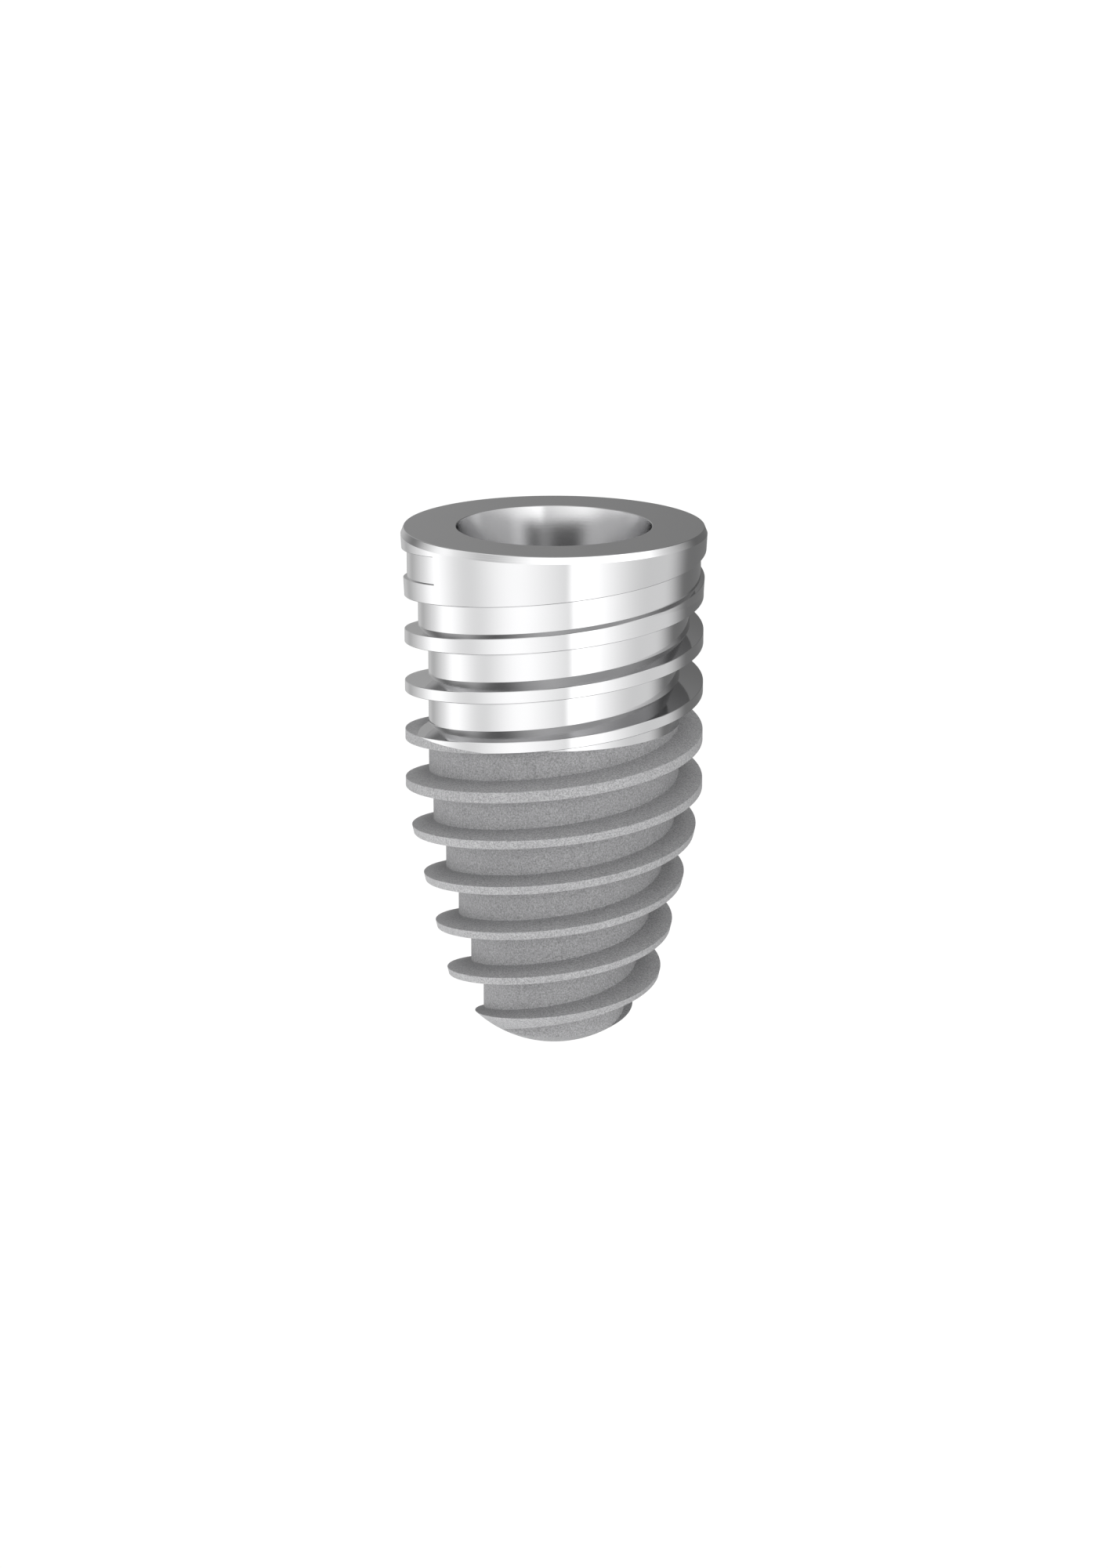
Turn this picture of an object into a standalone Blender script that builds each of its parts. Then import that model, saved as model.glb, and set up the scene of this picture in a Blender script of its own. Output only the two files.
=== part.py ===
# Dental implant: one turned titanium screw with a two-start, right-handed thread.
# Metres, +Z up along the axis. The origin is on the axis at bone level, the height
# where the polished neck ends and the blasted body begins, so the platform is above
# it and the domed apex below it. Every depth is measured down from the platform.

import math

import bmesh
import bpy
from mathutils import Matrix, Vector

MM = 0.001

# Overall sizes
OVERALL_LENGTH = 8.52 * MM
NECK_HEIGHT = 3.19 * MM
THREAD_RADIUS = 2.388 * MM

# Collar: it stands proud of the thread and tapers down to it
COLLAR_FLARE = 0.052 * MM
COLLAR_TAPER_ANGLE = math.radians(3.1)
RIM_CHAMFER_WIDTH = 0.045 * MM
RIM_CHAMFER_HEIGHT = 0.11 * MM

# Tapered body and domed apex
BODY_TAPER_DEPTH = 4.475 * MM
BODY_TAPER_ANGLE = math.radians(12.96)
APEX_DOME_HEIGHT = 1.07 * MM

# Thread form, a trapezoid with equal flanks
THREAD_STARTS = 2
CREST_SPACING = 0.80 * MM
CREST_WIDTH = 0.174 * MM
THREAD_DEPTH = 0.376 * MM
FLANK_ANGLE = math.radians(15)

# Core between the crests: its taper starts a little higher than the body's
CORE_TAPER_LEAD = 0.165 * MM
CORE_TAPER_ANGLE = math.radians(13.98)

# Where each groove starts in the collar, and how it deepens from there
GROOVE_START_DEPTH = 0.416 * MM
GROOVE_START_AZIMUTH = math.radians(-141)
GROOVE_ENTRY_DEPTH = 0.045 * MM
RUN_IN_TURNS = 1.06

# Internal connection: a cone, a hexagonal index and the bore for a screw
BORE_MOUTH_RADIUS = 1.561 * MM
CONE_ANGLE = math.radians(8)
CONE_DEPTH = 1.90 * MM
HEX_ACROSS_FLATS = 2.20 * MM
HEX_DEPTH = 1.10 * MM
SCREW_BORE_RADIUS = 0.80 * MM
DRILL_POINT_ANGLE = math.radians(59)
APEX_THICKNESS = 1.74 * MM

# How far a cutter runs out past the surface that it cuts
CUT_OVERLAP = 0.25 * MM

# Fineness of the round surfaces
STEPS_PER_TURN = 60
APEX_DOME_RINGS = 9
MERGE_DISTANCE = 1e-7
SMOOTH_LIMIT = math.radians(9)

# Titanium
TITANIUM_COLOUR = (0.54, 0.54, 0.55, 1.0)
TITANIUM_ROUGHNESS = 0.38

# Sizes that follow from the ones above
COLLAR_RADIUS = THREAD_RADIUS + COLLAR_FLARE
CORE_RADIUS = THREAD_RADIUS - THREAD_DEPTH
CORE_TAPER_DEPTH = BODY_TAPER_DEPTH - CORE_TAPER_LEAD
LEAD = THREAD_STARTS * CREST_SPACING
ROOT_WIDTH = CREST_SPACING - CREST_WIDTH - 2 * THREAD_DEPTH * math.tan(FLANK_ANGLE)


def level(depth):
    # Height above bone level of a point at this depth below the platform.
    return NECK_HEIGHT - depth


def clear_scene():
    for item in list(bpy.data.objects):
        bpy.data.objects.remove(item, do_unlink=True)


def titanium():
    material = bpy.data.materials.new("titanium")
    material.use_nodes = True
    shader = material.node_tree.nodes["Principled BSDF"]
    shader.inputs["Base Color"].default_value = TITANIUM_COLOUR
    shader.inputs["Metallic"].default_value = 1.0
    shader.inputs["Roughness"].default_value = TITANIUM_ROUGHNESS
    return material


def add_object(name, bm):
    bmesh.ops.recalc_face_normals(bm, faces=bm.faces)
    mesh = bpy.data.meshes.new(name)
    bm.to_mesh(mesh)
    bm.free()
    item = bpy.data.objects.new(name, mesh)
    bpy.context.scene.collection.objects.link(item)
    return item


def add_cutter(name, bm):
    item = add_object(name, bm)
    item.hide_render = True
    item.display_type = "WIRE"
    return item


def revolve(name, outline):
    # Turns an outline of (radius, height) points, which begins and ends on the axis.
    bm = bmesh.new()
    points = [bm.verts.new((radius, 0.0, height)) for radius, height in outline]
    for point, following in zip(points, points[1:]):
        bm.edges.new((point, following))
    bmesh.ops.spin(bm, geom=bm.verts[:] + bm.edges[:], cent=(0, 0, 0), axis=(0, 0, 1),
                   angle=math.tau, steps=STEPS_PER_TURN, use_merge=True)
    bmesh.ops.remove_doubles(bm, verts=bm.verts, dist=MERGE_DISTANCE)
    return add_object(name, bm)


def blank_radius_at(depth):
    # Radius of the uncut blank above the dome: collar taper, cylinder, body taper.
    collar = COLLAR_RADIUS - (depth - RIM_CHAMFER_HEIGHT) * math.tan(COLLAR_TAPER_ANGLE)
    below = max(depth - BODY_TAPER_DEPTH, 0.0)
    return max(collar, THREAD_RADIUS) - below * math.tan(BODY_TAPER_ANGLE)


def root_radius_at(turns, depth):
    # Radius of the groove's root: it deepens over the run-in, then follows the core.
    entry = blank_radius_at(GROOVE_START_DEPTH) - GROOVE_ENTRY_DEPTH
    run_in = entry + (CORE_RADIUS - entry) * min(turns / RUN_IN_TURNS, 1.0)
    below = max(depth - CORE_TAPER_DEPTH, 0.0)
    return run_in - below * math.tan(CORE_TAPER_ANGLE)


def dome_outline():
    # An arc about the axis, from the end of the body's taper to the apex.
    edge_depth = OVERALL_LENGTH - APEX_DOME_HEIGHT
    edge_radius = blank_radius_at(edge_depth)
    dome_radius = (edge_radius ** 2 + APEX_DOME_HEIGHT ** 2) / (2 * APEX_DOME_HEIGHT)
    centre = OVERALL_LENGTH - dome_radius
    edge_angle = math.atan2(edge_depth - centre, edge_radius)
    outline = []
    for ring in range(APEX_DOME_RINGS):
        angle = edge_angle + (math.pi / 2 - edge_angle) * ring / APEX_DOME_RINGS
        depth = centre + dome_radius * math.sin(angle)
        outline.append((dome_radius * math.cos(angle), level(depth)))
    return outline + [(0.0, level(OVERALL_LENGTH))]


def outer_outline():
    # From the platform's rim down the outside to the apex.
    collar_end = RIM_CHAMFER_HEIGHT + COLLAR_FLARE / math.tan(COLLAR_TAPER_ANGLE)
    return [
        (COLLAR_RADIUS - RIM_CHAMFER_WIDTH, level(0)),
        (COLLAR_RADIUS, level(RIM_CHAMFER_HEIGHT)),
        (THREAD_RADIUS, level(collar_end)),
        (THREAD_RADIUS, level(BODY_TAPER_DEPTH)),
    ] + dome_outline()


def inner_outline():
    # From the drill point up the screw bore and the cone to the bore's mouth.
    drill_point = OVERALL_LENGTH - APEX_THICKNESS
    bore_end = drill_point - SCREW_BORE_RADIUS / math.tan(DRILL_POINT_ANGLE)
    shelf_radius = BORE_MOUTH_RADIUS - CONE_DEPTH * math.tan(CONE_ANGLE)
    return [
        (0.0, level(drill_point)),
        (SCREW_BORE_RADIUS, level(bore_end)),
        (SCREW_BORE_RADIUS, level(CONE_DEPTH)),
        (shelf_radius, level(CONE_DEPTH)),
        (BORE_MOUTH_RADIUS, level(0)),
    ]


def hex_cutter():
    # A hexagonal prism that cuts the index into the shelf below the cone.
    bm = bmesh.new()
    corner_radius = HEX_ACROSS_FLATS / 2 / math.cos(math.pi / 6)
    height = HEX_DEPTH + CUT_OVERLAP
    middle = level(CONE_DEPTH + HEX_DEPTH - height / 2)
    bmesh.ops.create_cone(bm, cap_ends=True, segments=6, radius1=corner_radius,
                          radius2=corner_radius, depth=height,
                          matrix=Matrix.Translation((0, 0, middle)))
    return add_cutter("hex_cutter", bm)


def groove_section(root, outer):
    # The groove's trapezoid, as (radius, height) about the middle of its root.
    half = ROOT_WIDTH / 2
    half_mouth = half + (outer - root) * math.tan(FLANK_ANGLE)
    return [(root, -half), (root, half), (outer, half_mouth), (outer, -half_mouth)]


def groove_cutter(start):
    # One start of the thread: the trapezoid swept down a right-handed helix.
    bm = bmesh.new()
    run_out_depth = OVERALL_LENGTH + ROOT_WIDTH / 2
    steps = math.ceil((run_out_depth - GROOVE_START_DEPTH) / LEAD * STEPS_PER_TURN)
    first_azimuth = GROOVE_START_AZIMUTH + math.tau * start / THREAD_STARTS
    sections = []
    for step in range(steps + 1):
        turns = step / STEPS_PER_TURN
        depth = GROOVE_START_DEPTH + LEAD * turns
        azimuth = first_azimuth - math.tau * turns
        outward = Vector((math.cos(azimuth), math.sin(azimuth), 0.0))
        middle = Vector((0.0, 0.0, level(depth)))
        up = Vector((0.0, 0.0, 1.0))
        outline = groove_section(root_radius_at(turns, depth),
                                 blank_radius_at(depth) + CUT_OVERLAP)
        sections.append([bm.verts.new(middle + outward * radius + up * height)
                         for radius, height in outline])
    for section, following in zip(sections, sections[1:]):
        for corner in range(4):
            side = (corner, (corner + 1) % 4)
            bm.faces.new([section[side[0]], section[side[1]],
                          following[side[1]], following[side[0]]])
    bm.faces.new(sections[0])
    bm.faces.new(reversed(sections[-1]))
    return add_cutter(f"groove_cutter_{start + 1}", bm)


def cut(item, cutter):
    modifier = item.modifiers.new(cutter.name, "BOOLEAN")
    modifier.operation = "DIFFERENCE"
    modifier.solver = "EXACT"
    modifier.object = cutter


def apply_cuts(item):
    # Keeps the cut mesh, so that its edges can be told from its round surfaces.
    view = bpy.context.evaluated_depsgraph_get()
    mesh = bpy.data.meshes.new_from_object(item.evaluated_get(view))
    item.modifiers.clear()
    item.data = mesh
    mesh.shade_smooth()
    mesh.set_sharp_from_angle(angle=SMOOTH_LIMIT)


def implant_body():
    body = revolve("implant_body", inner_outline() + outer_outline())
    body.data.materials.append(titanium())
    cut(body, hex_cutter())
    for start in range(THREAD_STARTS):
        cut(body, groove_cutter(start))
    apply_cuts(body)
    return body


def main():
    clear_scene()
    implant_body()


main()
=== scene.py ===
# Dental implant: a turned titanium screw with a polished neck, a blasted body with a two-start
# thread, and inside it a cone, a hexagonal index and a fine screw thread.
# It is modelled in millimetres, in the frame's own axes: z = 0 is bone level, depths are
# measured down from the platform, and the finished mesh is scaled to metres.

import math

import bmesh
import bpy
from mathutils import Matrix, Vector


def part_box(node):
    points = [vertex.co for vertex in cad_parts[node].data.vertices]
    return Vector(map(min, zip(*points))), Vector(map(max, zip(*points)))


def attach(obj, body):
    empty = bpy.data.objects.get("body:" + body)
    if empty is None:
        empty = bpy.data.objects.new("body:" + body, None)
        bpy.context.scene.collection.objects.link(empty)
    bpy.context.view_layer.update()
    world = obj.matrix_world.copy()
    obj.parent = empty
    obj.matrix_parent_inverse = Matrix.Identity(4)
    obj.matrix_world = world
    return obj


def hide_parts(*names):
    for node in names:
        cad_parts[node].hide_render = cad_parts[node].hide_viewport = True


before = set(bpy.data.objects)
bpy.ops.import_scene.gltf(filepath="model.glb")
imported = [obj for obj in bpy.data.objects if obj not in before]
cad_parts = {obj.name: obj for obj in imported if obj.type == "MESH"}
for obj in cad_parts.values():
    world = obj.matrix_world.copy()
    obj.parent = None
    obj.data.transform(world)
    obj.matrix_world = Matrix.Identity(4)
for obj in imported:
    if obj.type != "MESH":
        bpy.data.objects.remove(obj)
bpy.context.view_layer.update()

mm = 0.001


# Camera

photo = {
    "height": 2001,            # pixels
    "focalLength": 5800,       # pixels
    "elevation": 15.027,       # degrees above the horizon
    "distance": 73.307,        # mm from the point that it aims at
    "aimHeight": -1.064,       # mm, on the implant's axis
    "sensor": 36.0,            # mm, along the photo's longer side
    "nearest": 1.0,            # mm; the camera sees nothing closer
}


def makeCamera():
    elevation = math.radians(photo["elevation"])
    distance = photo["distance"] * mm
    lensData = bpy.data.cameras.new("photoCamera")
    lensData.sensor_width = photo["sensor"]
    lensData.lens = photo["focalLength"] / photo["height"] * photo["sensor"]
    lensData.clip_start = photo["nearest"] * mm
    camera = bpy.data.objects.new("photoCamera", lensData)
    camera.location = (0.0, -distance * math.cos(elevation),
                       photo["aimHeight"] * mm + distance * math.sin(elevation))
    camera.rotation_euler = (math.pi / 2 - elevation, 0.0, 0.0)
    bpy.context.scene.collection.objects.link(camera)
    bpy.context.scene.camera = camera


# Shader tools

class Signal:                              # a node's output that takes part in shader maths
    def __init__(self, graph, socket):
        self.graph = graph
        self.socket = socket

    def __add__(self, other):
        return self.graph.maths("ADD", self, other)

    def __radd__(self, other):
        return self.graph.maths("ADD", other, self)

    def __sub__(self, other):
        return self.graph.maths("SUBTRACT", self, other)

    def __rsub__(self, other):
        return self.graph.maths("SUBTRACT", other, self)

    def __mul__(self, other):
        return self.graph.maths("MULTIPLY", self, other)

    def __rmul__(self, other):
        return self.graph.maths("MULTIPLY", other, self)


class Graph:                               # the node tree of one material, or of the world
    def __init__(self, owner):
        owner.use_nodes = True
        self.tree = owner.node_tree
        self.tree.nodes.clear()

    def node(self, kind, settings=None, sockets=None, output=0):
        made = self.tree.nodes.new("ShaderNode" + kind)
        for name, value in (settings or {}).items():
            setattr(made, name, value)
        for name, value in (sockets or {}).items():
            if isinstance(value, Signal):
                self.tree.links.new(value.socket, made.inputs[name])
            else:
                made.inputs[name].default_value = value
        return Signal(self, made.outputs[output]) if made.outputs else made

    def maths(self, operation, *values):
        return self.node("Math", {"operation": operation}, dict(enumerate(values)))

    def between(self, factor, first, second):
        return first + factor * (second - first)

    def mix(self, factor, first, second, blend="MIX"):     # the same for colours
        return self.node("Mix", {"data_type": "RGBA", "blend_type": blend},
                         {0: factor, 6: first, 7: second}, 2)

    def smoothStep(self, value, low, high):
        return self.node("MapRange", {"interpolation_type": "SMOOTHSTEP"},
                         {"Value": value, "From Min": low, "From Max": high})

    def noise(self, place, size, detail=2.0, roughness=0.5):
        return self.node("TexNoise", {"noise_dimensions": "3D"},
                         {"Vector": place, "Scale": 1 / (size * mm), "Detail": detail,
                          "Roughness": roughness})

    def lines(self, distance, size, detail=2.0):       # noise along one distance only
        return self.node("TexNoise", {"noise_dimensions": "1D"},
                         {"W": distance, "Scale": 1 / (size * mm), "Detail": detail})

    def axes(self, vector):
        parts = self.node("SeparateXYZ", None, {0: vector}).socket.node.outputs
        return [Signal(self, part) for part in parts]

    def aroundAxis(self, place):           # distance from the implant's axis, and height
        x, y, z = self.axes(place)
        return self.maths("SQRT", x * x + y * y), z

    def alongProfile(self, place):         # grows down a wall and out along a flat face
        radius, height = self.aroundAxis(place)
        return radius - height


# Titanium finishes

polish = {
    "colour": (0.53, 0.53, 0.535, 1.0),
    "paleColour": (0.55, 0.55, 0.555, 1.0),
    "metallic": 1.0,
    "roughness": 0.08,
    "roughnessSpread": 0.04,   # from the smoothest places to the roughest
    "smudgeSize": 0.9,         # mm
    "lineSize": 0.03,          # mm between the lathe's marks
    "lineDepth": 0.00012,      # mm
}

blast = {
    "colour": (0.30, 0.30, 0.305, 1.0),
    # darker in the grooves than on the crests: painted shade deep in the thread
    "grooveShadeColour": (0.26, 0.26, 0.265, 1.0),
    "grooveShadeDepth": (0.04, 0.34),           # mm below the crests, where the painted shade starts and is full
    "contrast": 1.2,           # how much the grain varies the colour
    "patchShare": 0.06,        # how much of that is in wider patches
    "metallic": 0.1,           # a matt skin over the metal
    "roughness": 0.7,
    "roughnessSpread": 0.08,
    "grainSize": 0.026,        # mm
    "grainDepth": 0.0012,      # mm
    "grainDetail": 3.0,        # how many layers of finer grain lie over it
    "grainSharpness": 0.75,    # how strong each layer is beside the one before
    "patchSize": 0.35,         # mm
}

socketFinish = {
    "colour": (0.50, 0.50, 0.505, 1.0),
    "paleColour": (0.58, 0.58, 0.585, 1.0),
    "metallic": 1.0,
    "roughness": 0.15,
    "roughnessSpread": 0.05,
    "grainSize": 0.014,        # mm
    "grainDepth": 0.0002,      # mm
    "lineSize": 0.02,          # mm between the tool's marks
    "lineDepth": 0.00006,      # mm
}


def startMaterial(name):
    material = bpy.data.materials.new(name)
    graph = Graph(material)
    return material, graph, graph.node("TexCoord", None, None, "Object")


def finish(graph, looks, colour, variation, height, depth):
    # The variation, from 0 to 1, moves the roughness, and the height makes the bumps.
    roughness = looks["roughness"] + (variation - 0.5) * looks["roughnessSpread"]
    bump = graph.node("Bump", None, {"Height": height, "Strength": 1.0, "Distance": depth * mm},
                      "Normal")
    surface = graph.node("BsdfPrincipled", None,
                         {"Base Color": colour, "Metallic": looks["metallic"],
                          "Roughness": roughness, "Normal": bump})
    graph.node("OutputMaterial", None, {"Surface": surface})


def polishedTitanium():
    material, graph, place = startMaterial("polishedTitanium")
    smudges = graph.noise(place, polish["smudgeSize"])
    marks = graph.lines(graph.alongProfile(place), polish["lineSize"])
    colour = graph.mix(smudges, polish["colour"], polish["paleColour"])
    finish(graph, polish, colour, smudges, marks, polish["lineDepth"])
    return material


def grooveShadeMask(graph, place):             # how deep a point is in the thread, from 0 to 1, which sets the painted shade
    radius, height = graph.aroundAxis(place)
    start, full = (depth * mm for depth in blast["grooveShadeDepth"])
    taper = graph.maths("MAXIMUM", level(blank["taperDepth"]) * mm - height, 0.0)
    crest = blank["threadRadius"] * mm - taper * slope(blank["taperAngle"])
    return graph.smoothStep(crest - radius, start, full)


def blastedTitanium():
    material, graph, place = startMaterial("blastedTitanium")
    grain = graph.noise(place, blast["grainSize"], blast["grainDetail"], blast["grainSharpness"])
    patches = graph.noise(place, blast["patchSize"])
    # The grooves are painted darker the deeper they go, as painted shade.
    shadedColour = graph.mix(grooveShadeMask(graph, place), blast["colour"], blast["grooveShadeColour"])
    spread = graph.between(blast["patchShare"], grain, patches) - 0.5
    shade = 1 + spread * (2 * blast["contrast"])
    tint = graph.node("CombineColor", None, {0: shade, 1: shade, 2: shade})
    colour = graph.mix(1.0, shadedColour, tint, "MULTIPLY")
    finish(graph, blast, colour, grain, grain, blast["grainDepth"])
    return material


def machinedSocket():
    material, graph, place = startMaterial("machinedSocket")
    grain = graph.noise(place, socketFinish["grainSize"])
    marks = graph.lines(graph.alongProfile(place), socketFinish["lineSize"])
    share = socketFinish["lineDepth"] / socketFinish["grainDepth"]
    colour = graph.mix(grain, socketFinish["colour"], socketFinish["paleColour"])
    finish(graph, socketFinish, colour, grain, grain + marks * share,
           socketFinish["grainDepth"])
    return material


# Turned blank

blank = {                      # mm and degrees; the rest of its sizes come from the frame
    "threadRadius": 2.388,
    "collarTaper": 3.1,
    "rimChamferWidth": 0.045,
    "rimChamferHeight": 0.11,
    "taperDepth": 4.475,       # where the body starts to narrow
    "taperAngle": 12.96,
    "domeHeight": 1.07,
    "edgeBreak": 0.008,        # on the platform's rims and along the crests
    "edgeBreakSteps": 2,
    "steps": 180,              # round the axis
    "domeRings": 30,
    "sharpAngle": 12.0,        # an edge that turns more than this stays sharp
}

socket = {                     # mm and degrees
    "mouthRadius": 1.561,
    "coneAngle": 8.0,
    "coneDepth": 1.90,
    "hexAcrossFlats": 2.20,
    "hexDepth": 1.10,
    "hexOverlap": 0.25,        # how far its cutter stands up into the cone
    "hexCornerRadius": 0.06,
    "hexCornerSteps": 6,
    "boreRadius": 0.80,
    "countersinkRadius": 1.03,
    "drillPointAngle": 59.0,   # half of the drill's point
    "apexThickness": 1.74,     # from the drill's point to the apex
}

precision = {                  # mm; points within these distances
    "merge": 0.0001,           # become one
    "rim": 0.001,              # count as on a rim or on the platform
    "plane": 0.00001,          # count as on the cutting plane
}

lowest, highest = (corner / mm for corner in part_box("implant_body"))
platformHeight = highest.z
overallLength = highest.z - lowest.z
collarRadius = highest.x
outside, blasted, inside = range(3)        # material slots


def level(depth):
    return platformHeight - depth


def slope(degrees):
    return math.tan(math.radians(degrees))


def giveSlot(faces, slot):
    for face in faces:
        face.material_index = slot


def roundEdges(bm, edges, width, steps):
    bmesh.ops.bevel(bm, geom=edges, offset=width, segments=steps, profile=0.5,
                    affect="EDGES", material=-1)


def newObject(name, bm):
    bmesh.ops.recalc_face_normals(bm, faces=bm.faces)
    mesh = bpy.data.meshes.new(name)
    bm.to_mesh(mesh)
    bm.free()
    item = bpy.data.objects.new(name, mesh)
    bpy.context.scene.collection.objects.link(item)
    return item


def blankRadius(depth):                    # above the dome
    collar = collarRadius - (depth - blank["rimChamferHeight"]) * slope(blank["collarTaper"])
    below = max(depth - blank["taperDepth"], 0.0)
    return max(collar, blank["threadRadius"]) - below * slope(blank["taperAngle"])


def domeOutline():                         # an arc from the end of the body's taper to the apex
    edgeDepth = overallLength - blank["domeHeight"]
    edgeRadius = blankRadius(edgeDepth)
    radius = (edgeRadius ** 2 + blank["domeHeight"] ** 2) / (2 * blank["domeHeight"])
    centre = overallLength - radius
    edgeAngle = math.atan2(edgeDepth - centre, edgeRadius)
    outline = []
    for ring in range(blank["domeRings"]):
        angle = edgeAngle + (math.pi / 2 - edgeAngle) * ring / blank["domeRings"]
        outline.append((radius * math.cos(angle), level(centre + radius * math.sin(angle))))
    return outline + [(0.0, level(overallLength))]


def outerOutline():
    # The collar's taper ends between two close rings, so that only that line is soft.
    rim = blank["rimChamferHeight"]
    collarEnd = rim + (collarRadius - blank["threadRadius"]) / slope(blank["collarTaper"])
    near = blank["edgeBreak"]
    corners = [rim, collarEnd - near, collarEnd, collarEnd + near, blank["taperDepth"]]
    outline = [(collarRadius - blank["rimChamferWidth"], level(0))]
    outline += [(blankRadius(depth), level(depth)) for depth in corners]
    return outline + domeOutline()


def innerOutline():
    # From the drill's point up the screw bore, its countersink and the cone to the mouth.
    drillPoint = overallLength - socket["apexThickness"]
    boreEnd = drillPoint - socket["boreRadius"] / slope(socket["drillPointAngle"])
    hexFloor = socket["coneDepth"] + socket["hexDepth"]
    sink = socket["countersinkRadius"]
    shelf = socket["mouthRadius"] - socket["coneDepth"] * slope(socket["coneAngle"])
    return [
        (0.0, level(drillPoint)),
        (socket["boreRadius"], level(boreEnd)),
        (socket["boreRadius"], level(hexFloor + sink - socket["boreRadius"])),
        (sink, level(hexFloor)),
        (sink, level(socket["coneDepth"])),
        (shelf, level(socket["coneDepth"])),
        (socket["mouthRadius"], level(0)),
    ]


def breakEdges(bm):                        # takes the sharpness off the platform's two edges
    rims = (socket["mouthRadius"], collarRadius - blank["rimChamferWidth"])

    def isOn(rim, point):
        return (abs(point.z - level(0)) < precision["rim"]
                and abs(point.xy.length - rim) < precision["rim"])

    sharp = [edge for edge in bm.edges
             if any(all(isOn(rim, vert.co) for vert in edge.verts) for rim in rims)]
    roundEdges(bm, sharp, blank["edgeBreak"], blank["edgeBreakSteps"])


def turnedBlank():
    bm = bmesh.new()
    points = [bm.verts.new((radius, 0.0, height))
              for radius, height in innerOutline() + outerOutline()]
    for point, following in zip(points, points[1:]):
        bm.edges.new((point, following))
    bmesh.ops.spin(bm, geom=bm.verts[:] + bm.edges[:], cent=(0, 0, 0), axis=(0, 0, 1),
                   angle=math.tau, steps=blank["steps"], use_merge=True)
    bmesh.ops.remove_doubles(bm, verts=bm.verts, dist=precision["merge"])
    bmesh.ops.recalc_face_normals(bm, faces=bm.faces)
    breakEdges(bm)
    for face in bm.faces:
        centre = face.calc_center_median()
        isWall = face.normal.x * centre.x + face.normal.y * centre.y > 0
        isPlatform = centre.z > level(precision["rim"])
        isDome = centre.z < level(overallLength - blank["domeHeight"])
        face.material_index = outside if isWall or isPlatform or isDome else inside
    return newObject("implantBody", bm)


# Threads

thread = {                     # mm, degrees and turns
    "starts": 2,
    "crestSpacing": 0.80,
    "crestWidth": 0.174,
    "depth": 0.376,
    "flankAngle": 15.0,
    "coreTaperDepth": 4.31,    # where the core starts to narrow
    "coreTaperAngle": 13.98,
    "startDepth": 0.416,       # middle of the groove where it starts in the collar
    "startAzimuth": -141.0,
    "entryDepth": 0.045,       # how deep the groove is cut where it starts
    "runIn": 1.06,             # turns until it reaches its full depth
    "clearance": 0.05,         # how far the cutter stands out of the surface
    "passes": 4,               # tries at finding where a flank meets the surface
}

screwThread = {                # mm and degrees; the fine thread in the screw bore
    "pitch": 0.40,
    "majorRadius": 1.0,
    "rootWidth": 0.05,
    "flankAngle": 30.0,
    "startDepth": 2.90,
    "endDepth": 5.95,
    "overlap": 0.06,           # how far its cutter stands into the bore
    "steps": 90,
}

lead = thread["starts"] * thread["crestSpacing"]
rootWidth = (thread["crestSpacing"] - thread["crestWidth"]
             - 2 * thread["depth"] * slope(thread["flankAngle"]))

# The corners of a groove's section, in order round it, and the side that each is on.
lower, upper = -1, 1
grooveSection = (("root", lower), ("root", upper), ("flank", upper),
                 ("mouth", upper), ("mouth", lower), ("flank", lower))


def sweepHelix(corners, azimuth, depth, turns, steps, pitch):
    # Spins a closed section down a right-handed helix and numbers its corners.
    bm = bmesh.new()
    number = bm.verts.layers.int.new("corner")
    outward = Vector((math.cos(azimuth), math.sin(azimuth), 0.0))
    section = []
    for index, (radius, height) in enumerate(corners):
        vert = bm.verts.new(outward * radius + Vector((0.0, 0.0, level(depth) + height)))
        vert[number] = index
        section.append(vert)
    bm.faces.new(section)
    count = math.ceil(turns * steps)
    bmesh.ops.spin(bm, geom=bm.verts[:] + bm.edges[:] + bm.faces[:], cent=(0, 0, 0),
                   axis=(0, 0, 1), angle=-math.tau * count / steps, steps=count,
                   dvec=(0, 0, -pitch / steps))
    return bm, number


def rootRadius(turns, depth):
    # The groove deepens over its run-in, then its root follows the core.
    core = blank["threadRadius"] - thread["depth"]
    entry = blankRadius(thread["startDepth"]) - thread["entryDepth"]
    below = max(depth - thread["coreTaperDepth"], 0.0)
    return (entry + (core - entry) * min(turns / thread["runIn"], 1.0)
            - below * slope(thread["coreTaperAngle"]))


def grooveCorner(corner, turns):
    # A corner's radius and its height above the root's middle, after so many turns. From the
    # flank's end to the mouth the section widens, which breaks the crest's edge.
    kind, side = grooveSection[corner]
    middle = thread["startDepth"] + lead * turns
    root = rootRadius(turns, middle)
    radius, offset = root, rootWidth / 2
    if kind == "root":
        return radius, side * offset
    for _ in range(thread["passes"]):      # the surface's radius depends on the offset
        radius = blankRadius(middle - side * offset) - blank["edgeBreak"]
        offset = rootWidth / 2 + (radius - root) * slope(thread["flankAngle"])
    if kind == "flank":
        return radius, side * offset
    past = blank["edgeBreak"] + thread["clearance"]
    return radius + past, side * (offset + past)


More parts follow.
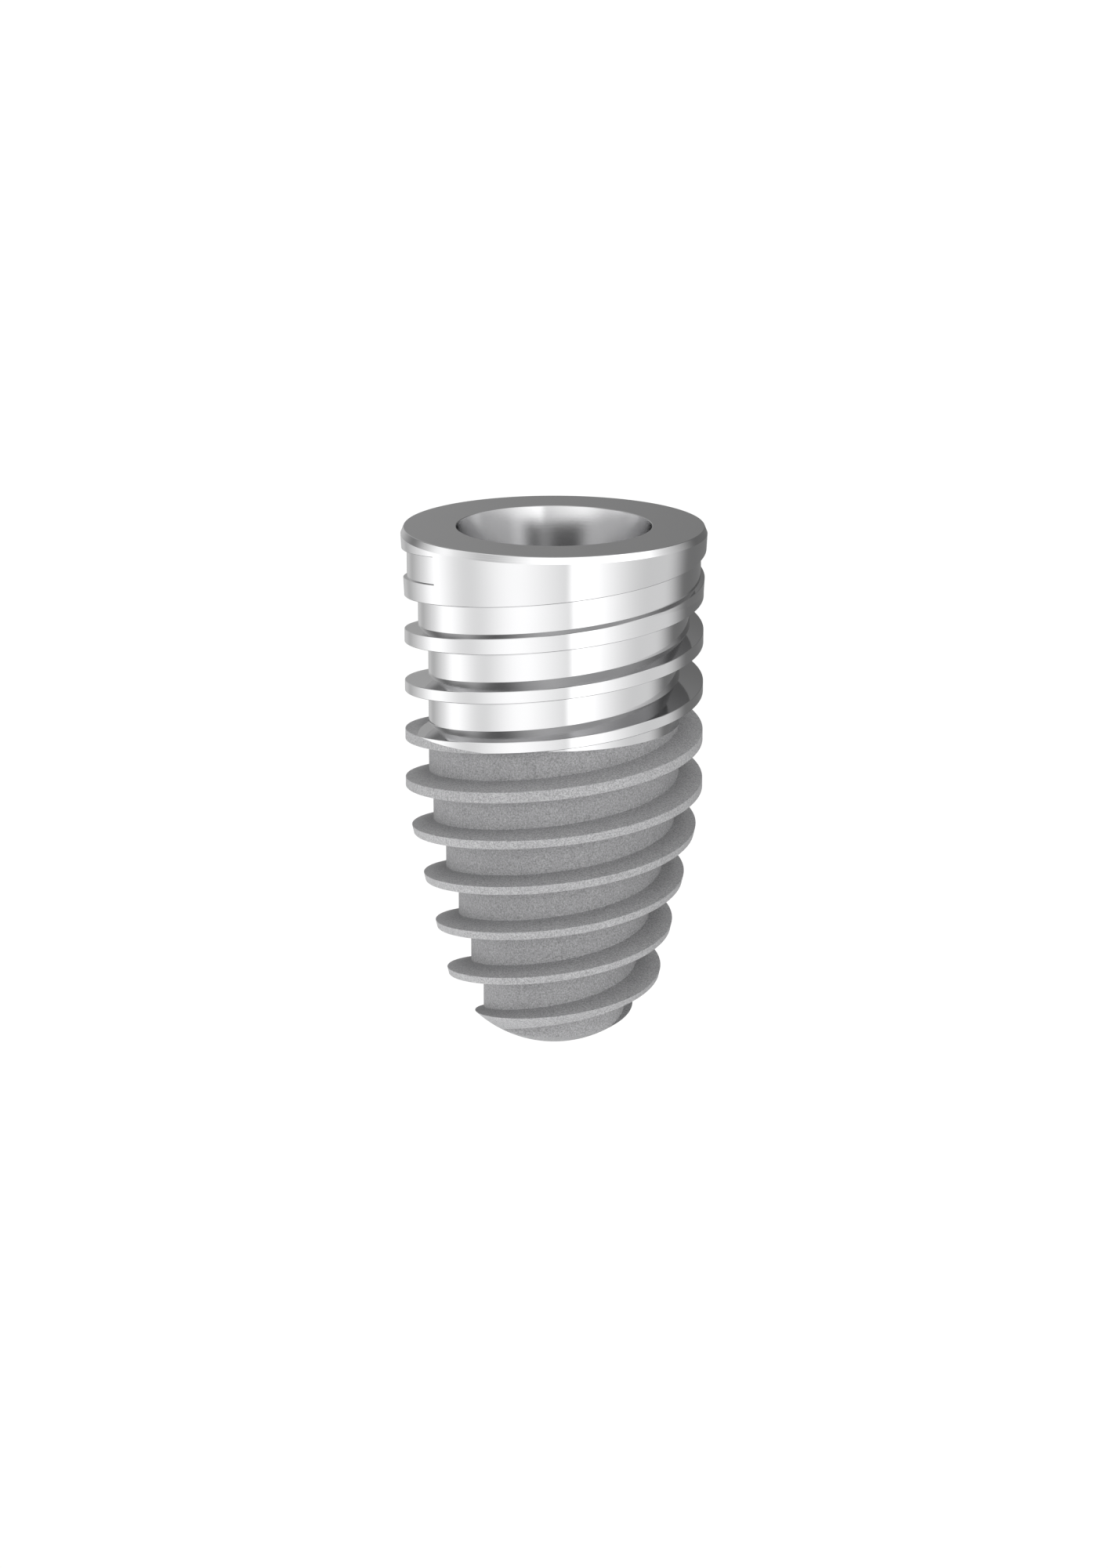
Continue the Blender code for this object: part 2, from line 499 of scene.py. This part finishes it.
def grooveCutter(start):
    first = math.radians(thread["startAzimuth"]) + math.tau * start / thread["starts"]
    turns = (overallLength + rootWidth / 2 - thread["startDepth"]) / lead
    section = [grooveCorner(corner, 0.0) for corner in range(len(grooveSection))]
    bm, number = sweepHelix(section, first, thread["startDepth"], turns, blank["steps"], lead)
    # Each corner moves to where the groove's own outline is at its number of turns.
    for vert in bm.verts:
        azimuth = math.atan2(vert.co.y, vert.co.x)
        fraction = (first - azimuth) / math.tau % 1.0
        rough = (level(thread["startDepth"]) - vert.co.z) / lead
        turned = max(fraction + round(rough - fraction), 0.0)
        radius, height = grooveCorner(vert[number], turned)
        vert.co.xy = Vector((math.cos(azimuth), math.sin(azimuth))) * radius
        vert.co.z = level(thread["startDepth"] + lead * turned) + height
    giveSlot(bm.faces, outside)
    return newObject(f"grooveCutter{start + 1}", bm)


def screwThreadCutter():
    outer = screwThread["majorRadius"]
    inner = socket["boreRadius"] - screwThread["overlap"]
    half = screwThread["rootWidth"] / 2
    mouth = half + (outer - inner) * slope(screwThread["flankAngle"])
    section = [(outer, -half), (outer, half), (inner, mouth), (inner, -mouth)]
    turns = (screwThread["endDepth"] - screwThread["startDepth"]) / screwThread["pitch"]
    bm, _ = sweepHelix(section, math.radians(thread["startAzimuth"]), screwThread["startDepth"],
                       turns, screwThread["steps"], screwThread["pitch"])
    giveSlot(bm.faces, inside)
    return newObject("screwThreadCutter", bm)


def hexCutter():
    sides = 6
    bm = bmesh.new()
    radius = socket["hexAcrossFlats"] / 2 / math.cos(math.pi / sides)
    height = socket["hexDepth"] + socket["hexOverlap"]
    middle = level(socket["coneDepth"] + socket["hexDepth"] - height / 2)
    bmesh.ops.create_cone(bm, cap_ends=True, segments=sides, radius1=radius, radius2=radius,
                          depth=height, matrix=Matrix.Translation((0, 0, middle)))
    upright = [edge for edge in bm.edges
               if abs(edge.verts[0].co.z - edge.verts[1].co.z) > height / 2]
    roundEdges(bm, upright, socket["hexCornerRadius"], socket["hexCornerSteps"])
    giveSlot(bm.faces, inside)
    return newObject("hexCutter", bm)


def cutWith(item, cutters):
    for cutter in cutters:
        modifier = item.modifiers.new(cutter.name, "BOOLEAN")
        modifier.operation = "DIFFERENCE"
        modifier.solver = "EXACT"
        modifier.object = cutter
    view = bpy.context.evaluated_depsgraph_get()
    mesh = bpy.data.meshes.new_from_object(item.evaluated_get(view))
    item.modifiers.clear()
    item.data = mesh
    for cutter in cutters:
        bpy.data.objects.remove(cutter, do_unlink=True)


def blastBelowBoneLevel(item):
    # Splits the outside at bone level, gives the lower part its finish and scales to metres.
    bm = bmesh.new()
    bm.from_mesh(item.data)
    faces = [face for face in bm.faces if face.material_index == outside]
    edges = {edge for face in faces for edge in face.edges}
    verts = {vert for face in faces for vert in face.verts}
    bmesh.ops.bisect_plane(bm, geom=list(verts) + list(edges) + faces,
                           dist=precision["plane"], plane_co=(0, 0, 0), plane_no=(0, 0, 1))
    giveSlot([face for face in bm.faces
              if face.material_index == outside and face.calc_center_median().z < 0], blasted)
    bmesh.ops.scale(bm, vec=(mm, mm, mm), verts=bm.verts)
    bm.to_mesh(item.data)
    bm.free()
    item.data.shade_smooth()
    item.data.set_sharp_from_angle(angle=math.radians(blank["sharpAngle"]))


def makeImplant():
    item = turnedBlank()
    print("turned blank:", len(item.data.polygons), "faces")
    cutters = [hexCutter(), screwThreadCutter()]
    cutters += [grooveCutter(start) for start in range(thread["starts"])]
    cutWith(item, cutters)
    print("socket and threads cut:", len(item.data.polygons), "faces")
    for material in (polishedTitanium(), blastedTitanium(), machinedSocket()):
        item.data.materials.append(material)
    blastBelowBoneLevel(item)
    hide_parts("implant_body")
    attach(item, "root")


# Studio

studio = {
    "floorDrop": 0.25,         # m below bone level
    "floorSize": 8.0,          # m
    "floorSides": 64,
    "colour": (1.0, 1.0, 1.0, 1.0),        # of the light and of the floor
    "white": 1.03,             # what the camera sees all round
    "level": 0.20,             # light from all round, between the softboxes
    "low": 0.60,               # light from straight below
    "lowSpan": (0.0, -60.0),   # degrees of elevation over which it sets in
    "high": 0.38,              # light from straight above
    "highSpan": (10.0, 60.0),
}

softboxes = {                  # left, right, bottom and top in degrees, and how soft each side is
    "front": {"sides": (-139, 109, -88, -3), "soft": (13, 15, 8, 6), "light": 0.69},
    "frontHigh": {"sides": (-101, 110, -4, 28), "soft": (14, 24, 18, 5), "light": 0.98},
    "leftStrip": {"sides": (-117, -88, -86, 22), "soft": (18, 28, 8, 4), "light": 1.10},
    "frontLeft": {"sides": (-51, -3, -24, 8), "soft": (32, 45, 4, 4), "light": 0.94},
    "frontRight": {"sides": (13, 46, -77, 9), "soft": (5, 33, 9, 4), "light": 1.12},
    "overhead": {"sides": (-36, 82, 21, 42), "soft": (30, 32, 4, 13), "light": 1.76},
    "backLeft": {"sides": (-171, -145, -20, 88), "soft": (20, 29, 6, 10), "light": 0.60},
    "leftHigh": {"sides": (-150, -45, 42, 74), "soft": (15, 14, 5, 8), "light": 0.95},
    "leftLevel": {"sides": (-117, -28, 3, 12), "soft": (8, 16, 4, 4), "light": 0.22},
    "leftLow": {"sides": (-134, -68, -81, -23), "soft": (6, 11, 10, 5), "light": 1.82},
    "rightHigh": {"sides": (-34, 195, 50, 66), "soft": (17, 19, 4, 6), "light": 0.84},
}


def panel(graph, azimuth, elevation, softbox):
    left, right, bottom, top = softbox["sides"]
    softLeft, softRight, softBottom, softTop = softbox["soft"]
    middle = (left + right) / 2
    turned = graph.maths("WRAP", azimuth - middle, 180.0, -180.0)

    def past(value, side, soft):
        return graph.smoothStep(value, side - soft, side + soft)

    across = past(turned, left - middle, softLeft) * (1 - past(turned, right - middle, softRight))
    upward = past(elevation, bottom, softBottom) * (1 - past(elevation, top, softTop))
    return across * upward * softbox["light"]


def makeStudioLight():
    world = bpy.data.worlds.new("studio")
    bpy.context.scene.world = world
    graph = Graph(world)
    x, y, z = graph.axes(graph.node("TexCoord", None, None, "Generated"))
    degrees = 180 / math.pi
    azimuth = graph.maths("ARCTAN2", x, 0 - y) * degrees
    elevation = graph.maths("ARCSINE", z) * degrees
    light = studio["level"]
    for end in ("low", "high"):
        start, full = studio[end + "Span"]
        light = light + graph.smoothStep(elevation, start, full) * (studio[end] - studio["level"])
    for softbox in softboxes.values():
        light = light + panel(graph, azimuth, elevation, softbox)
    isSeen = graph.node("LightPath", None, None, "Is Camera Ray")
    shown = graph.between(isSeen, light, studio["white"])
    background = graph.node("Background", None, {"Color": studio["colour"], "Strength": shown})
    graph.node("OutputWorld", None, {"Surface": background})


def makeFloor():
    bm = bmesh.new()
    bmesh.ops.create_circle(bm, cap_ends=True, segments=studio["floorSides"],
                            radius=studio["floorSize"],
                            matrix=Matrix.Translation((0, 0, -studio["floorDrop"])))
    floor = newObject("floor", bm)
    material = bpy.data.materials.new("paleFloor")
    graph = Graph(material)
    glow = graph.node("Emission", None, {"Color": studio["colour"], "Strength": studio["white"]})
    graph.node("OutputMaterial", None, {"Surface": glow})
    floor.data.materials.append(material)
    floor.visible_glossy = False           # only the camera sees it, so it lights nothing
    floor.visible_diffuse = False


makeCamera()
print("camera placed")
makeImplant()
print("implant finished")
makeStudioLight()
makeFloor()
bpy.context.scene.view_settings.view_transform = "Standard"
print("studio lit")
